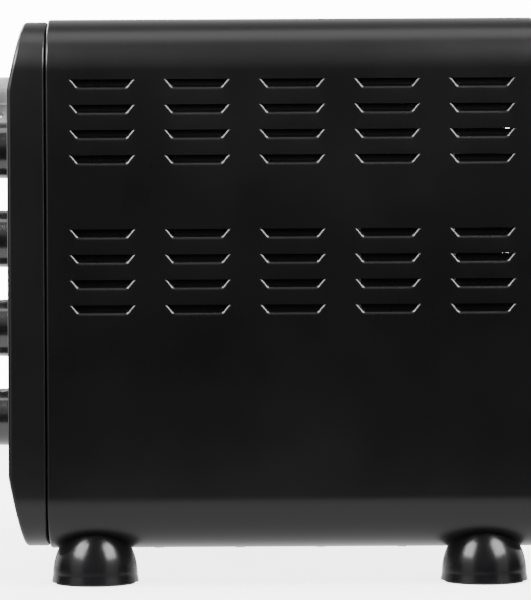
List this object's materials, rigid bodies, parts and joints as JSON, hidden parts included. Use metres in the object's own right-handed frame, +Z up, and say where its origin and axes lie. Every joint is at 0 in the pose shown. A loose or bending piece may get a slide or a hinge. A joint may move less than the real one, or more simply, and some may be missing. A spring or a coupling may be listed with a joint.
{
  "type": "toaster oven",
  "caption": "Countertop toaster oven with a louvred black case, bevelled front frame, drop-down glass door with bar handle, side column of dials and domed feet.",
  "frame": {"origin": "on the floor, under the middle of the whole oven, handle and rear screw heads included", "axes": "+X to the right seen from the front, +Y to the back, +Z up"},
  "size_m": [0.51, 0.382, 0.367],
  "materials": {
    "black_enamel": "satin black paint",
    "zinc_steel": "plain zinc-plated sheet",
    "cavity_steel": "aluminised sheet",
    "fastener_steel": "plated",
    "dark_screw": "blackened",
    "gloss_black_plastic": "gloss",
    "rubber_pad": "matte",
    "fascia_black": "semi-gloss black with pale dial marks",
    "amber_lens": "clear amber",
    "lamp_glass": "clear",
    "element_sheath": "dull sheath",
    "ceramic_white": "matte",
    "phenolic_plastic": "moulded",
    "door_glass": "tempered clear",
    "satin_chrome": "satin",
    "rack_chrome": "bright wire",
    "knob_plastic": "gloss black"
  },
  "bodies": {
    "oven": {"outer_case": "black_enamel", "base_plate": "zinc_steel", "back_panel": "zinc_steel", "cord_gland": "rubber_pad", "back_screws": "fastener_steel", "base_screws": "fastener_steel", "foot_front_left": "gloss_black_plastic", "foot_front_right": "gloss_black_plastic", "foot_rear_left": "gloss_black_plastic", "foot_rear_right": "gloss_black_plastic", "foot_pads": "rubber_pad", "foot_screws": "fastener_steel", "front_frame": "black_enamel", "control_fascia": "fascia_black", "indicator_lens": "amber_lens", "indicator_lamp": "lamp_glass", "chassis_plate": "zinc_steel", "frame_screws": "fastener_steel", "cavity_wrap": "cavity_steel", "cavity_side_left": "cavity_steel", "cavity_side_right": "cavity_steel", "heat_shield": "zinc_steel", "elements_lower": "element_sheath", "elements_upper": "element_sheath", "element_insulators": "ceramic_white", "thermostat_upper": "phenolic_plastic", "thermostat_lower": "phenolic_plastic", "function_switch": "phenolic_plastic", "timer": "phenolic_plastic", "timer_bell": "fastener_steel", "control_nuts": "fastener_steel", "terminal_block": "phenolic_plastic", "hinge_bracket_left": "zinc_steel", "hinge_bracket_right": "zinc_steel"},
    "door": {"door_frame": "black_enamel", "door_glass": "door_glass", "glass_retainer": "cavity_steel", "retainer_screws": "fastener_steel", "door_inner_panel": "cavity_steel", "door_panel_screws": "fastener_steel", "hinge_pins": "fastener_steel", "door_arm_left": "zinc_steel", "door_arm_right": "zinc_steel", "arm_rivets": "fastener_steel", "handle_bar": "satin_chrome", "handle_end_caps": "satin_chrome", "handle_bracket_left": "satin_chrome", "handle_bracket_right": "satin_chrome", "handle_screws": "dark_screw"},
    "rack": {"wire_rack": "rack_chrome"},
    "tray": {"crumb_tray": "cavity_steel"},
    "dial_upper_heat": {"knob_upper_heat": "knob_plastic", "shaft_upper_heat": "fastener_steel"},
    "dial_lower_heat": {"knob_lower_heat": "knob_plastic", "shaft_lower_heat": "fastener_steel"},
    "dial_function": {"knob_function": "knob_plastic", "shaft_function": "fastener_steel"},
    "dial_timer": {"knob_timer": "knob_plastic", "shaft_timer": "fastener_steel"}
  },
  "joints": [
    {"name": "door_hinge", "type": "hinge", "parent": "oven", "child": "door", "pos_m": [-0.058, -0.142, 0.085], "axis": [1, 0, 0], "range_deg": [0, 90]},
    {"name": "rack_slide", "type": "slide", "parent": "oven", "child": "rack", "axis": [0, -1, 0], "range_m": [0, 0.0905]},
    {"name": "tray_slide", "type": "slide", "parent": "oven", "child": "tray", "axis": [0, -1, 0], "range_m": [0, 0.19]},
    {"name": "upper_heat_turn", "type": "hinge", "parent": "oven", "child": "dial_upper_heat", "pos_m": [0.19, -0.16, 0.284], "axis": [0, 1, 0], "range_deg": [0, 270]},
    {"name": "lower_heat_turn", "type": "hinge", "parent": "oven", "child": "dial_lower_heat", "pos_m": [0.19, -0.16, 0.225], "axis": [0, 1, 0], "range_deg": [0, 270]},
    {"name": "function_turn", "type": "hinge", "parent": "oven", "child": "dial_function", "pos_m": [0.19, -0.16, 0.166], "axis": [0, 1, 0], "range_deg": [0, 180]},
    {"name": "timer_turn", "type": "hinge", "parent": "oven", "child": "dial_timer", "pos_m": [0.19, -0.16, 0.107], "axis": [0, 1, 0], "range_deg": [0, 300]}
  ],
  "couplings": [
    {"joint": "rack_slide", "follows": "door_hinge", "m_per_rad": 0.0573}
  ]
}
